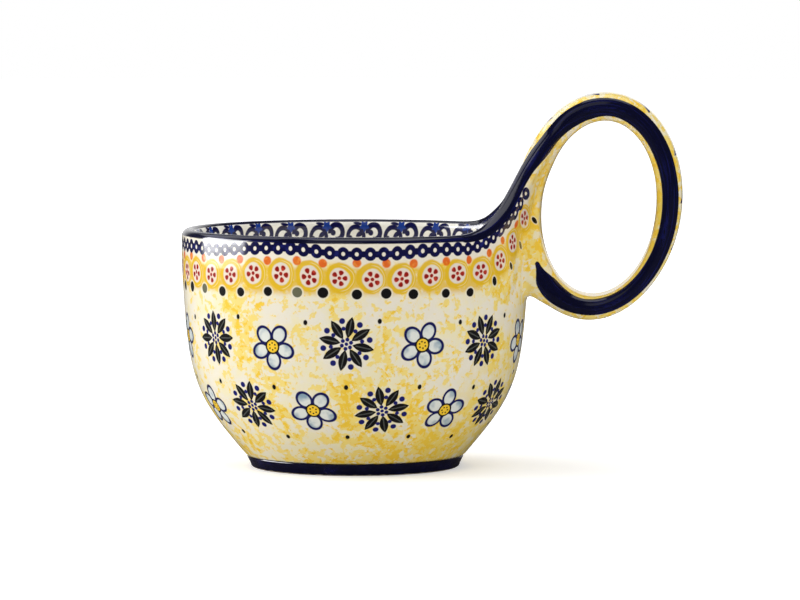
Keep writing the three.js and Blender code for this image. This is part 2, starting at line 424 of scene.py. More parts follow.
def handle_parts(reach, side, height):
    """Distances from the skins of the ring and of the web."""
    away, angle = ring_nearest(reach, height)
    crown = np.maximum(np.sin(angle), 0) ** 2
    swing = np.arctan2(np.sin(angle - thin_angle), np.cos(angle - thin_angle))
    strap_half = strap_half_thickness + (crown_half_thickness - strap_half_thickness) * crown
    strap_half = strap_half - strap_thinning * np.exp(-(swing / thin_spread) ** 2)
    heel = heel_swell / 2 * np.exp(-((np.mod(angle, 2 * math.pi) - heel_angle) / heel_spread) ** 2)
    half = strap_half + heel
    ring = np.hypot(np.maximum(np.abs(side) - strap_half_width + half, 0), away - heel) - half
    inner_end = wall_middle - ring_past_wall * smooth_share(height, seat_height, rim_height + 7)
    ring = np.maximum(ring, inner_end - reach)
    step = 0.5
    lean = (web_middle(height + step) - web_middle(height - step)) / (2 * step)
    away = (reach - web_middle(height)) / np.hypot(1, lean)
    width, flare = web_half_width(height)
    inset = (np.abs(side) - width) / np.hypot(1, flare)
    rising = np.clip((height - rim_height) / web_height, 0, 1)
    edge_half = web_half_thickness[0] + (web_half_thickness[1] - web_half_thickness[0]) * rising
    as_strap = smooth_share(height, rim_height + 4, rim_height + 22)
    as_strap = as_strap * smooth_share(-np.abs(side), -18, -6)
    half = edge_half + (strap_half - edge_half) * as_strap
    web = np.hypot(np.maximum(inset + half, 0), away) - half
    web = web + web_sink * smooth_share(height, web_top - 20, web_top - 3)
    web = web + root_sink * smooth_share(rim_height - height, *root_range)
    web = np.maximum(web, np.maximum(height - web_top, rim_height - web_depth - height))
    return ring, web


def mug_distance(places):
    """Distance from the skin of the whole mug, of points in millimetres about the bowl's axis."""
    across, side, height = places.T
    reach = np.hypot(across, side)
    clay = bowl_distance(reach, height)
    near = (across > handle_from[0]) & (height > handle_from[1])
    ring, web = handle_parts(reach[near], side[near], height[near])
    soften = heel_softening - softening_lost * smooth_share(height[near], belly_top + 4, web_merge)
    clay[near] = joined(joined(clay[near], web, web_softening), ring, soften)
    return clay


# Clay: bowl and handle are pressed and sponged together until no joint shows, so their skin is
# drawn as one. It is then parted along the joint, into two closed pieces that meet inside the clay.
skin_step = 1.0
skin_margin = 3.0
joint_depth = 0.8
joint_above_seat = 0.5
joint_off_wall = 1.0
skin_low = np.array([-rim_radius, -rim_radius, foot_height]) - skin_margin
skin_high = np.array([cad_box[1].x / mm - axis_x, rim_radius, cad_box[1].z / mm]) + skin_margin


def slope_of(distance, places, step=0.35):
    """The direction in which a distance grows fastest, as unit vectors."""
    slope = np.empty_like(places)
    for axis in range(3):
        offset = np.zeros(3)
        offset[axis] = step
        slope[:, axis] = distance(places + offset) - distance(places - offset)
    return slope / np.linalg.norm(slope, axis=1)[:, None]


def skin_of(distance, low, high, step):
    """Points and four-sided faces of the surface where a distance is zero."""
    axes = [np.arange(a, b, step) for a, b in zip(low, high)]
    shape = tuple(len(axis) for axis in axes)
    values = np.empty(shape, np.float32)
    for i, across in enumerate(axes[0]):
        side, height = np.meshgrid(axes[1], axes[2], indexing="ij")
        places = np.stack([np.full(side.size, across), side.ravel(), height.ravel()], -1)
        values[i] = distance(places).reshape(side.shape)
    solid = values < 0
    corners = [(i, j, k) for i in (0, 1) for j in (0, 1) for k in (0, 1)]
    size = [count - 1 for count in shape]
    shifted = [tuple(slice(c, c + n) for c, n in zip(corner, size)) for corner in corners]
    filled = sum(solid[window].astype(np.int8) for window in shifted)
    cells = np.argwhere((filled > 0) & (filled < 8))
    number = np.full(size, -1, np.int32)
    number[tuple(cells.T)] = np.arange(len(cells))
    corner_values = np.stack([values[tuple((cells + corner).T)] for corner in corners], 1)
    total = np.zeros((len(cells), 3))
    crossings = np.zeros(len(cells))
    for a in range(8):
        for b in range(a + 1, 8):
            start, end = np.array(corners[a]), np.array(corners[b])
            if np.abs(end - start).sum() != 1:
                continue
            first, last = corner_values[:, a], corner_values[:, b]
            crossed = (first < 0) != (last < 0)
            share = np.where(crossed, first / np.where(crossed, first - last, 1), 0)[:, None]
            total += np.where(crossed[:, None], start + share * (end - start), 0)
            crossings += crossed
    points = np.array([axis[0] for axis in axes]) + step * (cells + total / crossings[:, None])
    faces = []
    for axis in range(3):
        one, two = (axis + 1) % 3, (axis + 2) % 3
        ahead = np.roll(solid, -1, axis)
        edges = np.argwhere(solid != ahead)
        inner = (edges[:, axis] < shape[axis] - 1) & (edges[:, one] > 0) & (edges[:, two] > 0)
        edges = edges[inner & (edges[:, one] < size[one]) & (edges[:, two] < size[two])]
        around = []
        for back_one, back_two in ((1, 1), (0, 1), (0, 0), (1, 0)):
            cell = edges.copy()
            cell[:, one] -= back_one
            cell[:, two] -= back_two
            around.append(number[tuple(cell.T)])
        quads = np.stack(around, 1)
        leaving = solid[tuple(edges.T)]
        faces.append(np.where(leaving[:, None], quads, quads[:, ::-1]))
    return points, np.concatenate(faces)


def settled(distance, points, faces, rounds=4):
    """Evens the points out along the skin and sets them on it."""
    for _ in range(rounds):
        total = np.zeros_like(points)
        count = np.zeros(len(points))
        for a, b in ((0, 1), (1, 2), (2, 3), (3, 0)):
            np.add.at(total, faces[:, a], points[faces[:, b]])
            np.add.at(total, faces[:, b], points[faces[:, a]])
            np.add.at(count, faces[:, a], 1)
            np.add.at(count, faces[:, b], 1)
        points = points + 0.5 * (total / count[:, None] - points)
        for _ in range(2):
            slope = slope_of(distance, points)
            points = points - distance(points)[:, None] * slope
    return points


skin, skin_faces = skin_of(mug_distance, skin_low, skin_high, skin_step)
skin = settled(mug_distance, skin, skin_faces)
skin_normals = slope_of(mug_distance, skin)


def handle_points(places):
    """Which points lie on the handle's side of the joint."""
    across, side, height = places.T
    under_web = np.abs(np.arctan2(side, across)) < web_angle
    above_seat = (height > seat_height + joint_above_seat) & under_web
    return above_seat | (bowl_distance(np.hypot(across, side), height) > joint_off_wall)


def evened(chosen, faces, rounds=4):
    """A choice of faces whose edge is smoothed, so that no face stands alone."""
    uses = np.bincount(faces.ravel())
    for _ in range(rounds):
        share = np.bincount(faces.ravel(), np.repeat(chosen, 4).astype(float)) / uses
        chosen = share[faces].mean(1) > 0.5
    return chosen


on_handle = evened(handle_points(skin)[skin_faces].mean(1) > 0.5, skin_faces)


def seam_loops(faces, chosen):
    """The closed lines of points between the chosen faces and the rest, as the chosen faces turn."""
    sides = {}
    for face, belongs in zip(faces.tolist(), chosen):
        if not belongs:
            for a, b in zip(face, face[1:] + face[:1]):
                sides[(a, b)] = True
    after = {}
    for face, belongs in zip(faces.tolist(), chosen):
        if belongs:
            for a, b in zip(face, face[1:] + face[:1]):
                if (b, a) in sides:
                    after.setdefault(a, []).append(b)
    loops = []
    while after:
        start = next(iter(after))
        loop = [start]
        while True:
            following = after[loop[-1]]
            step = following.pop()
            if not following:
                del after[loop[-1]]
            if step == start:
                break
            loop.append(step)
        loops.append(loop)
    return loops


def joint_faces(loops, sunk):
    """Faces that close the joint inside the clay, facing out of the handle."""
    closed = []
    for loop in loops:
        follows = dict(zip(loop, loop[1:] + loop[:1]))
        closed += [(b, a, sunk[a], sunk[b]) for a, b in follows.items()]
        triangles = tessellate_polygon([[Vector(skin[sunk[i]]) for i in loop]])
        made = [tuple(loop[i] for i in triangle) for triangle in triangles]
        agrees = sum(follows[a] == b for t in made for a, b in zip(t, t[1:] + t[:1]))
        closed += [tuple(sunk[i] for i in (t[::-1] if agrees else t)) for t in made]
    return closed


seams = seam_loops(skin_faces, on_handle)
seam_points = [i for loop in seams for i in loop]
sunk_points = {i: len(skin) + n for n, i in enumerate(seam_points)}
skin = np.concatenate([skin, skin[seam_points] - joint_depth * skin_normals[seam_points]])
skin_normals = np.concatenate([skin_normals, skin_normals[seam_points]])
joint = joint_faces(seams, sunk_points)


# Paint lines: the decorators work along the rim and on up the edges of the handle, so the bands are
# laid out by how far round that edge a point is, and how far from it.
lower_tip_height = 70.5
tip_lift = 1.7
tip_turn = 0.5
rim_points = 600
web_points = 400
ring_points = 700
web_crowding = 1.6
lip_depth = 6.0
rim_turns = np.linspace(math.pi, math.asin(web_half_width(rim_height)[0] / wall_middle), rim_points)
rim_line = np.stack([wall_middle * np.cos(rim_turns), wall_middle * np.sin(rim_turns),
                     np.full(len(rim_turns), rim_height)], -1)
web_shares = np.linspace(0, 1, web_points)[1:] ** web_crowding
web_heights = rim_height + (web_top - rim_height) * web_shares
web_sides = web_half_width(web_heights)[0]
web_reaches = web_middle(web_heights)
web_line = np.stack([np.sqrt(web_reaches ** 2 - web_sides ** 2), web_sides, web_heights], -1)
ring_end = ring_angle_at(lower_tip_height) - 2 * math.pi
ring_angles = np.linspace(ring_angle_at(web_heights[-1]), ring_end, ring_points)[1:]
ring_reaches, ring_heights = ring_middle(ring_angles)
ring_reaches = ring_reaches + tip_lift * smooth_share(-ring_angles, -ring_end - tip_turn, -ring_end)
ring_line = np.stack([np.sqrt(ring_reaches ** 2 - strap_half_width ** 2),
                      np.full(len(ring_angles), strap_half_width), ring_heights], -1)
edge_line = np.concatenate([rim_line, web_line, ring_line])
edge_run = np.concatenate([[0], np.cumsum(np.linalg.norm(np.diff(edge_line, axis=0), axis=1))])
web_run = edge_run[len(rim_line)]
tip_run = edge_run[-1]
ring_quarters = (-math.pi / 2, 0, math.pi / 2)
crown_run, far_run, low_run = np.interp(ring_quarters, -ring_angles, edge_run[-len(ring_angles):])


def along_edge(places, edge):
    """How far round a painted edge points are, how far from it, and how the way there leans."""
    folded = places * (1, 0, 1) + np.abs(places) * (0, 1, 0)
    run = np.empty(len(places))
    away = np.full(len(places), np.inf)
    lean = np.empty(len(places))
    start, leg = edge[:-1], np.diff(edge, axis=0)
    for chunk in np.array_split(np.arange(len(places)), 1 + len(places) // 2000):
        point = folded[chunk]
        nearest = ((point[:, None] - edge[None]) ** 2).sum(2).argmin(1)
        for before in (1, 0):
            i = np.clip(nearest - before, 0, len(leg) - 1)
            offset = point - start[i]
            share = np.clip((offset * leg[i]).sum(1) / (leg[i] ** 2).sum(1), 0, 1)[:, None]
            offset = offset - share * leg[i]
            gap = np.linalg.norm(offset, axis=1)
            foot_point = point - offset
            sideways = offset[:, 0] * foot_point[:, 1] - offset[:, 1] * foot_point[:, 0]
            sideways = sideways / np.hypot(foot_point[:, 0], foot_point[:, 1])
            closer = gap < away[chunk]
            along = edge_run[i] + share[:, 0] * (edge_run[i + 1] - edge_run[i])
            run[chunk] = np.where(closer, along, run[chunk])
            lean[chunk] = np.where(closer, np.arctan2(sideways, -offset[:, 2]), lean[chunk])
            away[chunk] = np.where(closer, gap, away[chunk])
    return run, away, lean


across, side, height = skin.T
reach = np.hypot(across, side)
edge_runs, edge_drop, _ = along_edge(skin, edge_line)
rim_run, rim_drop, rim_lean = along_edge(skin, edge_line[:len(rim_line) + len(web_line)])
curve_steps = np.linalg.norm(np.diff(outer_curve, axis=0), axis=1)
curve_drop = rim_height - belly_top + np.concatenate([[0], np.cumsum(curve_steps[::-1])])
wall_drop = np.where(height > belly_top, rim_height - height,
                     np.interp(-height, -outer_curve[::-1, 1], curve_drop))
normal_out = (skin_normals[:, 0] * across + skin_normals[:, 1] * side) / np.maximum(reach, 1e-6)
bowl_side = np.where(height > rim_height - lip_depth, normal_out, normal_out - skin_normals[:, 2])
ring_away = ring_nearest(reach, height)[0]
next_to_web = (height > seat_height) & (height < web_merge + 8) & (reach < ring_reach - 12)
handle_side = np.where(next_to_web, reach - web_middle(height), -ring_away)
outer_side = np.where(handle_points(skin), handle_side, bowl_side)


def clay_piece(name, chosen, lids):
    """One closed piece of the skin with its painted lines, shaded as the whole skin is."""
    faces = [tuple(face) for face in skin_faces[chosen].tolist()] + lids
    used = sorted({i for face in faces for i in face})
    place = {old: new for new, old in enumerate(used)}
    piece = new_piece(name, skin[used], [[place[i] for i in face] for face in faces])
    lines = {"edge_run": edge_runs, "edge_drop": edge_drop, "rim_run": rim_run, "rim_drop": rim_drop,
             "rim_lean": rim_lean, "wall_drop": wall_drop}
    for line_name, values in lines.items():
        piece.data.attributes.new(line_name, "FLOAT", "POINT").data.foreach_set("value", values[used])
    outside = outer_side[skin_faces[chosen]].mean(1) > 0
    inner_slots = np.concatenate([~outside, np.zeros(len(lids), bool)]).astype(np.int32)
    piece.data.polygons.foreach_set("material_index", inner_slots)
    piece.data.normals_split_custom_set_from_vertices(skin_normals[used].tolist())
    return piece


bowl = clay_piece("bowl_glazed", ~on_handle, [t[::-1] for t in joint])
handle = clay_piece("handle_glazed", on_handle, joint)
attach(bowl, "root")
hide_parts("bowl")
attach(handle, "root")
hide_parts("handle", "root_slip", "wall_slip")


# Outside paint: a cream ground, sponged with yellow. Under the cobalt rim come a chain of stamped
# rings, a row of roundels with red flowers, and a row of dots, then blossoms and leaf stars.
cream = (238, 230, 211)
pale_yellow = (243, 230, 172)
mid_yellow = (247, 217, 98)
deep_yellow = (245, 200, 46)
gold = (229, 185, 32)
# gold made lighter than the paint is, as painted light on the shaded side of the finger hole
gold_lightened_as_painted_light = (242, 212, 84)
ink = (17, 16, 17)
thin_ink = (104, 104, 82)
vein_grey = (86, 88, 84)
berry_blue = (26, 30, 104)
petal_outline = (20, 24, 84)
petal_white = (226, 229, 222)
petal_wash = (134, 160, 176)
eye_yellow = (246, 202, 54)
roundel_white = (230, 221, 205)
flower_halo = (246, 204, 186)
flower_red = (146, 18, 10)
flower_pale_red = (200, 64, 40)
spot_orange = (228, 98, 4)
spot_pale_orange = (238, 144, 46)
chain_navy = (9, 10, 60)
chain_pale_blue = (30, 38, 116)
band_cobalt = (5, 6, 36)
# lighter cobalt for streaks along the bands, partly brush marks and partly painted highlight
painted_highlight_streak = (16, 19, 76)
chain_drop = 5.3
chain_pitch = 4.33
chain_end = 37.0
ring_size = 2.0
ring_hole = (0.5, 0.74)
last_ring = (59.0, 95.0)
flower_drop = 13.1
flower_pitch = 9.92
flower_shift = -0.35
flower_end = 15.0
last_flower = (58.5, 86.3)
spot_drop = 8.5
spot_size = 1.42
dot_drop = 18.9
dot_size = 1.45
band_width = 3.1
motifs_round = 14
motif_angle = 2 * math.pi / motifs_round


def line(name):
    return Paint(node("ShaderNodeAttribute", attribute_name=name).outputs["Fac"])


def fraction(value):
    return calc("FRACT", value)


def size_of(value):
    return calc("ABSOLUTE", value)


def hypot(one, two):
    return calc("SQRT", one * one + two * two)


def chance(cell, seed):
    """A number from 0 to 1 for each cell of a row."""
    made = node("ShaderNodeTexWhiteNoise", noise_dimensions="1D")
    put(made.inputs["W"], cell + seed)
    return Paint(made.outputs["Value"])


def disc(distance, radius, soft=0.13):
    """1 within a radius and 0 beyond it."""
    return ease(distance, radius + soft, radius - soft)


def folded(angle, count):
    """An angle folded into one of a number of equal petals, with 0 down the petal's middle."""
    petal = 2 * math.pi / count
    return (fraction(angle / petal + 0.5) - 0.5) * petal


def spokes(away, angle, count, reach):
    """Distance from the nearest of a number of points that stand round a middle."""
    spoke = folded(angle, count)
    return hypot(away * calc("COSINE", spoke) - reach, away * calc("SINE", spoke))


def along(run, start, *changes):
    """A value along the painted edge: its start, and each change from one place to another."""
    value = start
    for low, high, change in changes:
        value = ease(run, low, high) * change + value
    return value


def sponged(ground, amount):
    """Dabs of yellow from a soft sponge: round marks that crowd together in some places."""
    pressed = (speckle(15.0, 2.0, 0.5, 11.0) - 0.5) * 0.45 + (amount - 0.5) * 0.13
    film = ease(speckle(6.0, 3.0, 0.6, 10.0) + pressed, 0.38, 0.58)
    dabs = ease(speckle(2.9, 4.0, 0.62, 12.0, 0.3) + pressed, 0.475, 0.535)
    thick = ease(speckle(2.4, 4.0, 0.62, 18.0, 0.3) + pressed, 0.54, 0.61) * dabs
    ground = layer(ground, pale_yellow, film * 0.5)
    ground = layer(ground, mid_yellow, dabs * 0.8)
    return layer(ground, deep_yellow, thick * 0.85)


def blossom(ground, x, y, lean, share):
    """Five washed petals with a dark outline, round a yellow eye."""
    middle, half_length, half_width = 4.75, 3.1, 2.55
    eye, eye_outline, stamens = 2.05, 2.65, 1.15
    away = hypot(x, y)
    angle = calc("ARCTAN2", x, y) + lean
    petal = folded(angle, 5)
    length = (away * calc("COSINE", petal) - middle) / half_length
    within = hypot(length, away * calc("SINE", petal) / half_width)
    shade = ease(speckle(3.4, 2.0, 0.5, 16.0) + length * 0.22, 0.42, 0.82)
    ground = layer(ground, petal_outline, disc(within, 1.13, 0.05) * share)
    ground = layer(ground, layer(petal_white, petal_wash, shade), disc(within, 0.79, 0.06) * share)
    ground = layer(ground, ink, disc(away, eye_outline) * share)
    ground = layer(ground, eye_yellow, disc(away, eye) * share)
    return layer(ground, ink, disc(spokes(away, angle, 6, stamens), 0.3) * share)


def leaf_star(ground, x, y, lean, share):
    """Eight dark leaves with a paler vein, and cobalt berries between them and at their heart."""
    middle, half_length, half_width = 5.7, 3.7, 1.5
    leaves = 8
    away = hypot(x, y)
    angle = calc("ARCTAN2", x, y) + lean
    leaf = folded(angle, leaves)
    length = (away * calc("COSINE", leaf) - middle) / half_length
    aside = size_of(away * calc("SINE", leaf))
    blade = ease((1.0 - length * length) * half_width - aside, -0.12, 0.12)
    ground = layer(ground, ink, blade * share)
    vein = disc(aside, 0.2, 0.12) * ease(size_of(length), 0.8, 0.6)
    ground = layer(ground, vein_grey, vein * share * 0.8)
    between = angle + math.pi / leaves
    outer = disc(spokes(away, between, leaves, 7.9), 1.0)
    inner = disc(spokes(away, between, leaves, 5.3), 0.72)
    heart = disc(spokes(away, angle, 6, 1.6), 0.68)
    berries = calc("MAXIMUM", calc("MAXIMUM", outer, inner), calc("MAXIMUM", heart, disc(away, 0.62)))
    return layer(ground, berry_blue, berries * share)


def roundel(ground, x, y, cell, share):
    """A yellow ring with a pale middle, stamped with a red flower of five petals."""
    ring_edge, swirl_reach, white_edge, petal_middle, heart = 5.0, 4.2, 3.4, 1.85, 0.62
    uneven = 1.0 + (speckle(5.0, 2.0, 0.5, 20.0) - 0.5) * 0.3
    ground = layer(ground, gold, disc(hypot(x, y) * uneven, ring_edge, 0.3) * share * 0.95)
    off_swirl = size_of(hypot(x - 0.2, y - 0.1) * uneven - swirl_reach)
    swirl = disc(off_swirl, 0.12, 0.14) * ease(x, -0.5, 1.5)
    ground = layer(ground, pale_yellow, swirl * share * 0.7)
    loose = ease(cell, -0.6, -0.4)
    x = x + (chance(cell, 1.19) - 0.5) * loose * 0.8
    y = y + (chance(cell, 2.37) - 0.5) * 0.6
    away = hypot(x, y)
    ground = layer(ground, roundel_white, disc(away * uneven, white_edge, 0.25) * share)
    petal = folded(calc("ARCTAN2", x, y) + (chance(cell, 4.41) - 0.5) * loose * 0.7, 5)
    length = away * calc("COSINE", petal) - petal_middle
    aside = away * calc("SINE", petal) / (length * 0.28 + 0.78)
    petals = calc("MINIMUM", hypot(length / 0.86, aside) * 0.8 - 0.8, away - heart)
    ground = layer(ground, flower_halo, ease(petals, 0.45, 0.1) * share * 0.7)
    red = layer(flower_red, flower_pale_red, ease(speckle(1.6, 2.0, 0.5, 14.0), 0.48, 0.72))
    return layer(ground, red, ease(petals, 0.14, -0.14) * share)


def cobalt_with_painted_streaks(run, away):
    """Cobalt from a full brush, with lighter streaks along the stroke: partly brush marks, partly
    painted highlight.
    """
    stroke = node("ShaderNodeCombineXYZ")
    put(stroke.inputs[0], run * 0.06)
    put(stroke.inputs[1], away * 1.7)
    streaks = node("ShaderNodeTexNoise", noise_dimensions="2D")
    Paint.tree.links.new(stroke.outputs[0], streaks.inputs["Vector"])
    put(streaks.inputs["Scale"], 1.0)
    return layer(band_cobalt, painted_highlight_streak, ease(Paint(streaks.outputs["Fac"]), 0.5, 0.78))


outer_glaze, glaze = start_glaze("painted_outside")
edge, edge_away = line("edge_run"), line("edge_drop")
run, drop, lean_in, wall = line("rim_run"), line("rim_drop"), line("rim_lean"), line("wall_drop")
waver = (speckle(9.0, 2.0, 0.5, 21.0) - 0.5) * 0.9
across_mm, along_mm, height_mm = position()
turn = calc("ARCTAN2", along_mm, across_mm * -1.0) / motif_angle
girth = hypot(across_mm, along_mm)
motifs = []
for row_drop, shift, seed, dots in ((36.5, 0.0, 1.7, (-9.0,)), (59.5, 0.5, 4.9, (-9.5, 10.5))):
    cell = calc("FLOOR", turn + shift)
    x = (turn + shift - cell - 0.5) * girth * motif_angle
    cell = calc("WRAP", cell, motifs_round, 0.0)
    y = wall - row_drop + (chance(cell, seed) - 0.5) * 3.0
    motifs.append((row_drop, shift, seed, dots, cell, x, y))
clear_of_motifs = ease(calc("MINIMUM", *(hypot(x, y) for *_, x, y in motifs)), 7.0, 15.0)
past_bowl = calc("MAXIMUM", ease(height_mm, rim_height - 6.0, rim_height + 6.0),
                 ease(girth, rim_radius + 0.3, rim_radius + 3.0))
on_strap = ease(edge, web_run + 30.0, web_run + 40.0) * past_bowl
under_bands = calc("MAXIMUM", ease(drop, 7.5, 10.0), on_strap)
by_handle = ease(across_mm, 36.0, 56.0) * ease(wall, 34.0, 16.0)
# Less sponge on the left of the front is painted highlight: the glaze whitened where the window shines
# in it. Less on the right is only thinner sponging.
painted_highlight_and_thin_sponge = ease(across_mm, -34.0, -52.0) * ease(wall, 58.0, 38.0)
painted_highlight_and_thin_sponge = painted_highlight_and_thin_sponge + ease(across_mm, 36.0, 52.0) * ease(wall, 22.0, 32.0) * ease(wall, 60.0, 44.0)
amount = ease(wall, 18.0, 62.0) * 0.6 + clear_of_motifs * 0.6 - 0.3
amount = amount + by_handle * 0.45 - painted_highlight_and_thin_sponge * 0.45
amount = calc("MAXIMUM", amount, on_strap * 0.75)
colour = layer(cream, sponged(cream, amount), under_bands)
# Gold on the faces of the ring's far side that look into the finger hole: gold paint, laid lighter than
# it is, as painted light that lifts the shade falling there.
far_gold_and_painted_light = ease(edge, crown_run, far_run) * ease(edge, tip_run - 6.0, tip_run - 20.0)
far_gold_and_painted_light = far_gold_and_painted_light * ease(speckle(5.0, 3.0, 0.6, 19.0), 0.35, 0.55)
colour = layer(colour, gold_lightened_as_painted_light, far_gold_and_painted_light * 0.7)

on_web = ease(run, web_run - 6.0, web_run + 14.0)
wander = (speckle(30.0, 1.0, 0.5, 22.0) - 0.5) * (4.0 - on_web * 3.0)
to_meet = ease(run, 30.0, 0.0) * (flower_shift + 0.5)
flower_steps = (run + lean_in * flower_drop) / flower_pitch + flower_shift - on_web * 0.18 - to_meet
cell = calc("FLOOR", flower_steps)
flower_limit = ease(cell, flower_end + 0.6, flower_end + 0.4)
row_limit = ease(flower_steps, flower_end + 2.2, flower_end + 1.7)
between = ease(drop, 9.3, 11.5) * ease(drop, 20.5, 17.5) * row_limit
colour = layer(colour, gold, between * ease(speckle(4.0, 3.0, 0.6, 13.0), 0.3, 0.46) * 0.85)
x = (flower_steps - cell - 0.5) * flower_pitch * 1.04
colour = roundel(colour, x, drop - flower_drop + wander, cell, flower_limit)
x, y = (across_mm - last_flower[0]) * 2.4, height_mm - last_flower[1]
colour = roundel(colour, x, y, 3.0, 1.0)

dot_cell = calc("FLOOR", flower_steps + 0.5)
dot_limit = ease(dot_cell, flower_end + 2.6, flower_end + 2.4)
x = (flower_steps - dot_cell) * flower_pitch + (chance(dot_cell, 0.31) - 0.5) * 2.0
y = drop - spot_drop + wander * 0.6 + chance(dot_cell, 7.77) - 0.5
spot_limit = ease(dot_cell, flower_end + 1.6, flower_end + 1.4)
orange = layer(spot_orange, spot_pale_orange, ease(speckle(1.8, 2.0, 0.5, 25.0), 0.46, 0.7))
colour = layer(colour, orange, disc(hypot(x, y), spot_size, 0.25) * spot_limit * 0.97)
away = hypot(x * (1.0 + on_web), drop - dot_drop + chance(dot_cell, 3.13) - 0.5)
by_web = ease(run, web_run - 26.0, web_run - 16.0)
thick = calc("MAXIMUM", ease(chance(dot_cell, 5.55), 0.16, 0.3), by_web)
radius = chance(dot_cell, 9.21) * 0.35 + dot_size
colour = layer(colour, cream, disc(away - radius, 0.5, 0.3) * dot_limit * 0.8)
colour = layer(colour, layer(thin_ink, ink, thick), disc(away - radius, 0.0) * dot_limit)

chain_steps = (run + lean_in * chain_drop) / chain_pitch
cell = calc("FLOOR", chain_steps)
x = (chain_steps - cell - 0.5) * chain_pitch
y = drop - chain_drop + on_web * 0.8 + wander
away = hypot(x, y)
ring = disc(away, ring_size) * ease(away, *ring_hole)
link = disc(size_of(y), 0.95) * ease(size_of(x), 1.3, 1.6)
chain = calc("MAXIMUM", ring, link) * ease(cell, chain_end + 0.6, chain_end + 0.4)
away = hypot((across_mm - last_ring[0]) * 1.8, height_mm - last_ring[1])
chain = calc("MAXIMUM", chain, disc(away, ring_size + 0.2) * ease(away, *ring_hole))
chain_blue = layer(chain_navy, chain_pale_blue, ease(speckle(2.5, 2.0, 0.5, 15.0), 0.5, 0.8))
colour = layer(colour, chain_blue, chain)

off_handle = ease(girth, rim_radius + 0.6, rim_radius + 0.2)
for row_drop, shift, seed, dots, cell, x, y in motifs:
    lean = (chance(cell, seed + 2.2) - 0.5) * 1.2
    odd = ease(fraction(cell * 0.5), 0.2, 0.3)
    colour = blossom(colour, x, y, lean, odd * off_handle)
    colour = leaf_star(colour, x, y, lean, (1.0 - odd) * off_handle)
    for rise in dots:
        steps = turn + shift + 0.5
        cell = calc("FLOOR", steps)
        x = (steps - cell - 0.5) * girth * motif_angle
        cell = calc("WRAP", cell, motifs_round, 0.0)
        x = x + (chance(cell, seed + 8.3) - 0.5) * 4.0
        y = wall - row_drop - rise + (chance(cell, seed + 6.1) - 0.5) * 4.0
        colour = layer(colour, ink, disc(hypot(x, y * 0.8), 0.72) * off_handle)

band = along(edge, band_width, (web_run - 6, web_run + 14, 0.3), (web_run + 18, web_run + 34, -1.0),
             (web_run + 38, web_run + 50, 1.6), (crown_run - 14, crown_run + 4, -1.0),
             (crown_run + 6, far_run, -0.9), (far_run + 10, low_run, 1.5),
             (low_run, tip_run - 10, 1.0), (tip_run - 9, tip_run, -3.5))
band = band + waver * 0.25
colour = layer(colour, cobalt_with_painted_streaks(edge, edge_away), ease(edge_away - band, 0.13, -0.13))
put(glaze.inputs["Base Color"], colour)
ripple(glaze, 0.12)


# Inside paint: a white ground with a running scroll and small stars under the cobalt rim. On the
# handle the same side is cream, sponged with yellow, with pairs of blue leaves.
white_glaze = (246, 244, 237)
white_shade = (236, 232, 221)
iron_brown = (150, 128, 96)
scroll_navy = (8, 10, 66)
star_blue = (22, 56, 140)
dot_blue = (16, 20, 92)
leaf_blue = (24, 30, 100)
inner_band_width = 2.0
scroll_pitch = 13.9
curl_place, curl_radius, curl_stroke = (3.4, 5.2), 2.3, 0.85
arch_place, arch_radius, arch_stroke = (-3.3, 6.5), 2.9, 0.7
scroll_leaf_place = (5.6, 8.6)
star_place, star_size = (-0.1, 3.3), 1.9
dot_row_height = rim_height - 11.2
dots_round = 98
dot_angle = 2 * math.pi / dots_round
leaf_pitch = 15.0
inner_glaze, glaze = start_glaze("painted_inside")
edge, edge_away = line("edge_run"), line("edge_drop")
run, drop = line("rim_run"), line("rim_drop")
waver = (speckle(9.0, 2.0, 0.5, 21.0) - 0.5) * 0.9
across_mm, along_mm, height_mm = position()
girth = hypot(across_mm, along_mm)
past_bowl = calc("MAXIMUM", ease(height_mm, rim_height - 4.0, rim_height + 4.0),
                 ease(girth, rim_radius - 1.0, rim_radius))
on_strap = ease(edge, web_run + 6.0, web_run + 16.0) * past_bowl
off_strap = 1.0 - on_strap
white = layer(white_glaze, white_shade, ease(speckle(14.0, 3.0, 0.55, 23.0), 0.4, 0.75))
iron = ease(speckle(2.2, 1.0, 0.5, 24.0), 0.76, 0.8)
white = layer(white, iron_brown, iron * 0.6)
colour = layer(white, sponged(cream, 0.75), on_strap)

cell = calc("FLOOR", run / scroll_pitch)
unit = (run / scroll_pitch - cell - 0.5) * scroll_pitch
depth = drop + waver * 0.4
x, y = unit - curl_place[0], depth - curl_place[1]
curl = disc(size_of(hypot(x, y) - curl_radius), curl_stroke)
curl = curl * ease(calc("MAXIMUM", x, y * -1.0), -0.5, -0.2)
scroll = calc("MAXIMUM", curl, disc(hypot(x + 1.2, y - 0.1), 0.95))
x, y = unit - arch_place[0], depth - arch_place[1]
arch = disc(size_of(hypot(x, y) - arch_radius), arch_stroke) * ease(y, 0.5, 0.2)
scroll = calc("MAXIMUM", scroll, calc("MAXIMUM", arch, disc(hypot(x + 2.1, y - 0.5), 0.85)))
length = ((y + 0.8) * 0.5 - (x - 1.5) * 0.866) / 1.8
aside = size_of((y + 0.8) * 0.866 + (x - 1.5) * 0.5)
sprout = ease((1.0 - length * length) * 0.85 - aside, -0.12, 0.12)
horn = disc(hypot((unit + 2.6) * 0.36, depth - 2.9 - unit * 0.12), 0.58)
scroll = calc("MAXIMUM", scroll, calc("MAXIMUM", sprout, horn))
x, y = unit - scroll_leaf_place[0], depth - scroll_leaf_place[1]
length = (x + y * 0.5) / 2.6
leaf = ease((1.0 - length * length) * 1.1 - size_of(y - x * 0.5), -0.12, 0.12)
colour = layer(colour, scroll_navy, calc("MAXIMUM", scroll, leaf) * off_strap)
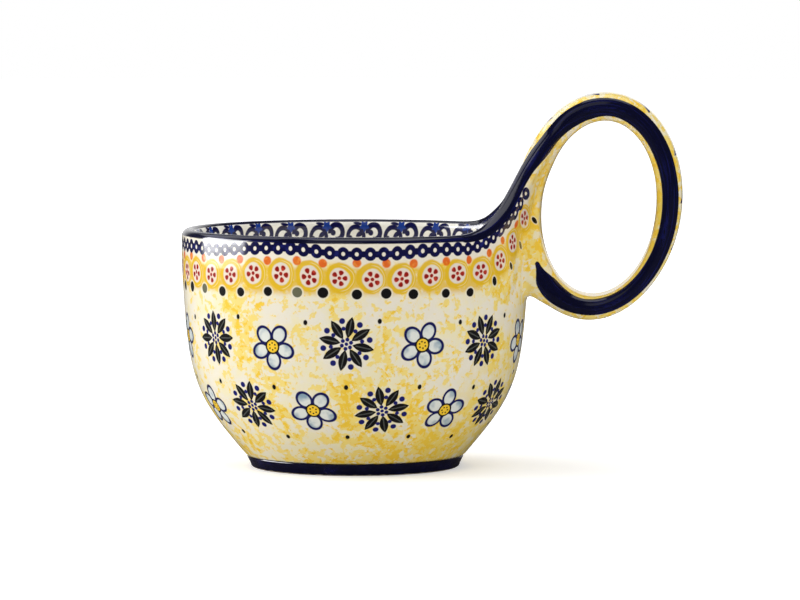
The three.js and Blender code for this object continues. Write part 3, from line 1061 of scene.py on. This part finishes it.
x, y = unit - star_place[0], depth - star_place[1]
tip = size_of(folded(calc("ARCTAN2", x, y), 5))
star = ease(star_size - hypot(x, y) * (1.0 + tip * 1.2), -0.1, 0.1)
colour = layer(colour, star_blue, star * off_strap)
dot_steps = calc("ARCTAN2", along_mm, across_mm * -1.0) / dot_angle
cell = calc("FLOOR", dot_steps)
x = (dot_steps - cell - 0.5) * girth * dot_angle
in_bowl = ease(girth, rim_radius, rim_radius - 1.0)
colour = layer(colour, dot_blue, disc(hypot(x, height_mm - dot_row_height), 0.62) * in_bowl)

cell = calc("FLOOR", edge / leaf_pitch)
x = (edge / leaf_pitch - cell - 0.5) * leaf_pitch
y = size_of(along_mm)
length = ((x - 0.5) * 0.5 + (y - 5.6) * 0.866) / 4.6
aside = size_of((y - 5.6) * 0.5 - (x - 0.5) * 0.866)
leaf = ease((1.0 - length * length) * 1.5 - aside, -0.12, 0.12)
sprig = calc("MAXIMUM", leaf, disc(hypot(x - 4.6, y), 0.85))
sprig = sprig * ease(edge, web_run + 26.0, web_run + 32.0)
clear_of_root = calc("MAXIMUM", ease(height_mm, rim_height + 7.5, rim_height + 9.0),
                     ease(girth, rim_radius + 8.0, rim_radius + 11.0))
colour = layer(colour, leaf_blue, sprig * on_strap * clear_of_root)

band = along(edge, inner_band_width, (web_run - 4, web_run + 12, 2.4),
             (web_run + 30, web_run + 50, -0.9), (crown_run, far_run, 0.4), (far_run, low_run, -1.5),
             (low_run, tip_run - 8, 0.8), (tip_run - 7, tip_run, -2.1))
band = band + waver * 0.25
colour = layer(colour, cobalt_with_painted_streaks(edge, edge_away), ease(edge_away - band, 0.13, -0.13))
put(glaze.inputs["Base Color"], colour)
ripple(glaze, 0.12)
for piece in (bowl, handle):
    piece.data.materials.append(outer_glaze)
    piece.data.materials.append(inner_glaze)


# Studio: a floor and backdrop of plain white, broad soft lamps all round, and a window on the left
# that only shines in the glaze. The camera is far off with a long lens, a little above the rim.
floor_size = 10.0
floor_white = (231, 231, 231)
floor_reflected = (84, 84, 84)
floor_roughness = 0.9
lit_near, lit_far = 0.42, 0.4
bpy.ops.mesh.primitive_plane_add(size=floor_size)
floor = bpy.context.object
floor.name = "studio_floor"
floor_material, floor_shader = start_glaze("white_floor")
rays = node("ShaderNodeLightPath")
reflected = Paint(rays.outputs["Is Glossy Ray"])
put(floor_shader.inputs["Base Color"], layer(floor_white, floor_reflected, reflected))
floor_shader.inputs["Roughness"].default_value = floor_roughness
floor_shader.inputs["Specular IOR Level"].default_value = 0.0
across_mm, along_mm, height_mm = position()
far_off = ease(hypot(across_mm, along_mm), 120.0, 700.0)
floor_shader.inputs["Emission Color"].default_value = (1, 1, 1, 1)
shown = Paint(rays.outputs["Is Camera Ray"])
put(floor_shader.inputs["Emission Strength"], shown * (far_off * lit_far + lit_near))
floor.data.materials.append(floor_material)

world = bpy.data.worlds.new("studio")
world.use_nodes = True
bpy.context.scene.world = world
Paint.tree = world.node_tree
rays = node("ShaderNodeLightPath")
backdrop = Paint.tree.nodes["Background"]
backdrop.inputs["Color"].default_value = (1, 1, 1, 1)
world_light = 0.55
shown = Paint(rays.outputs["Is Camera Ray"]) * (1.0 - world_light)
ways = node("ShaderNodeTexCoord")
parts = node("ShaderNodeSeparateXYZ")
Paint.tree.links.new(ways.outputs["Generated"], parts.inputs[0])
behind = ease(Paint(parts.outputs[1]), 0.8, 0.97)
mirrored = Paint(rays.outputs["Is Glossy Ray"]) * (behind * 0.9 - 0.5)
put(backdrop.inputs["Strength"], shown + mirrored + world_light)


def lamp(name, place, aim, size, watts, lights=True, mirrored=True):
    """A broad lamp that lights the mug, shows in its glaze, or both."""
    light = bpy.data.lights.new(name, "AREA")
    light.shape = "RECTANGLE"
    light.size, light.size_y = size
    light.energy = watts
    made = bpy.data.objects.new(name, light)
    made.location = place
    made.rotation_euler = (Vector(aim) - Vector(place)).to_track_quat("-Z", "Y").to_euler()
    made.visible_diffuse = lights
    made.visible_glossy = mirrored
    bpy.context.scene.collection.objects.link(made)


middle = (0, 0, 0.06)
lamp("left_lamp", (-0.62, -0.06, 0.2), middle, (0.42, 0.4), 2.2, mirrored=False)
lamp("left_window", (-0.62, 0.03, 0.187), middle, (0.46, 0.3), 6.5, lights=False)
lamp("front_lamp", (-0.3, -1.2, 1.0), middle, (0.9, 0.7), 0.8)
lamp("right_lamp", (1.0, -1.1, 0.35), middle, (0.8, 0.8), 4, mirrored=False)
lamp("top_lamp", (0.1, 0.0, 1.2), middle, (1.0, 1.0), 5)
lamp("back_lamp", (-0.75, 0.5, 1.0), middle, (0.9, 0.9), 3.2)

camera_distance = 1.75
camera_height = 0.1793
aim_height = 0.0572
camera_offset = 0.0154
camera_turn = math.radians(2.4)
pixels_across = 800
focal_pixels = 5102
camera_data = bpy.data.cameras.new("camera")
camera_data.sensor_width = 36
camera_data.lens = camera_data.sensor_width * focal_pixels / pixels_across
camera_data.clip_end = 50
camera = bpy.data.objects.new("camera", camera_data)
sight = Vector((math.sin(camera_turn), -math.cos(camera_turn), 0))
beside = Vector((math.cos(camera_turn), math.sin(camera_turn), 0))
aim = Vector((axis_x * mm, 0, aim_height)) + beside * camera_offset
camera.location = aim + sight * camera_distance + Vector((0, 0, camera_height - aim_height))
camera.rotation_euler = (aim - camera.location).to_track_quat("-Z", "Y").to_euler()
bpy.context.scene.collection.objects.link(camera)
bpy.context.scene.camera = camera
bpy.context.scene.view_settings.view_transform = "Standard"
